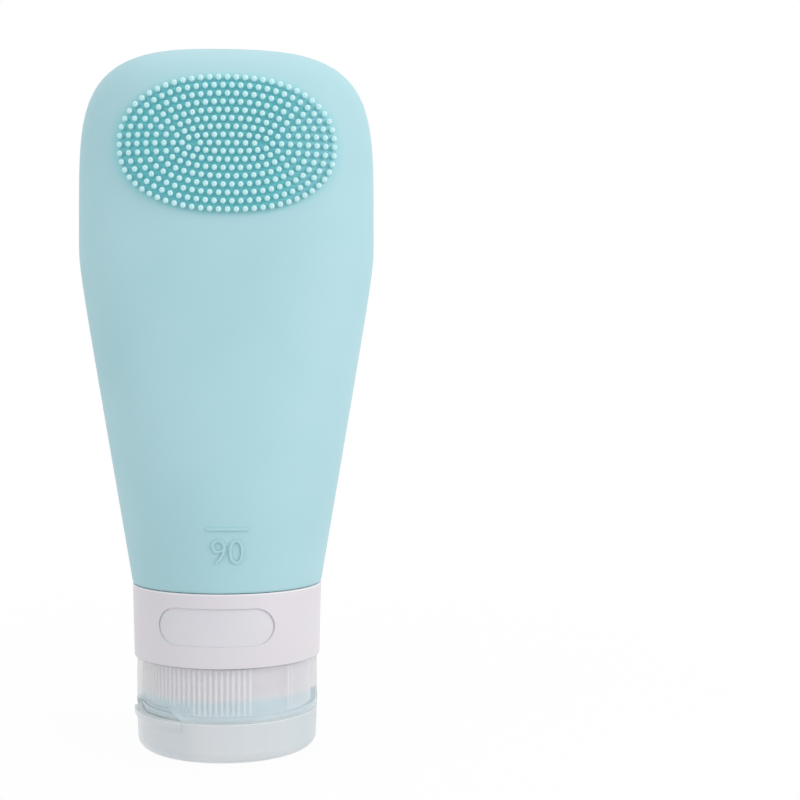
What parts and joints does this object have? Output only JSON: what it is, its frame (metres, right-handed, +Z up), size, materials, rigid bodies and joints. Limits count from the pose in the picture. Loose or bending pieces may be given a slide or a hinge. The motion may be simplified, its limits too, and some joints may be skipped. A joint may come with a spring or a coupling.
{
  "type": "squeeze bottle",
  "caption": "Tapered silicone travel squeeze bottle standing on a translucent screw cap with flip lid, with a window collar and two bristle brushes moulded into its crown.",
  "frame": {"origin": "middle of the closed lid's flat face, which the bottle stands on", "axes": "+Z up from the lid to the crown, -Y out of the front with the face brush, +X to the right seen from the front"},
  "size_m": [0.0552, 0.0352, 0.1293],
  "materials": {
    "body_silicone": "matt silicone, slightly translucent",
    "brush_silicone": "matt silicone",
    "white_plastic": "satin moulded plastic",
    "pane_plastic": "satin sheet over a white label",
    "frosted_plastic": "frosted translucent plastic",
    "valve_silicone": "clear silicone"
  },
  "bodies": {
    "bottle": {"silicone_body": "body_silicone", "face_brush_pad": "brush_silicone", "scrub_brush_pad": "brush_silicone", "neck_ring": "white_plastic"},
    "sleeve": {"window_sleeve": "white_plastic", "window_pane": "pane_plastic"},
    "valve": {"valve_retainer": "frosted_plastic", "no_drip_valve": "valve_silicone"},
    "cap": {"cap_body": "frosted_plastic", "hinge_straps": "frosted_plastic"},
    "lid": {"flip_lid": "frosted_plastic"}
  },
  "joints": [
    {"name": "sleeve_turn", "type": "hinge", "parent": "bottle", "child": "sleeve", "pos_m": [0, 0, 0.0237], "axis": [0, 0, 1], "continuous": true},
    {"name": "cap_travel", "type": "slide", "parent": "bottle", "child": "valve", "axis": [0, 0, -1], "range_m": [0, 0.016]},
    {"name": "cap_turn", "type": "hinge", "parent": "valve", "child": "cap", "pos_m": [0, 0, 0.0073], "axis": [0, 0, -1], "range_deg": [0, 1441]},
    {"name": "lid_swing", "type": "hinge", "parent": "cap", "child": "lid", "pos_m": [0.01529, 0.00882, 0.00728], "axis": [0.5, -0.866, 0], "range_deg": [0, 150], "deforming": ["hinge_straps"]}
  ],
  "couplings": [
    {"joint": "cap_turn", "follows": "cap_travel", "rad_per_m": 1570.8}
  ]
}
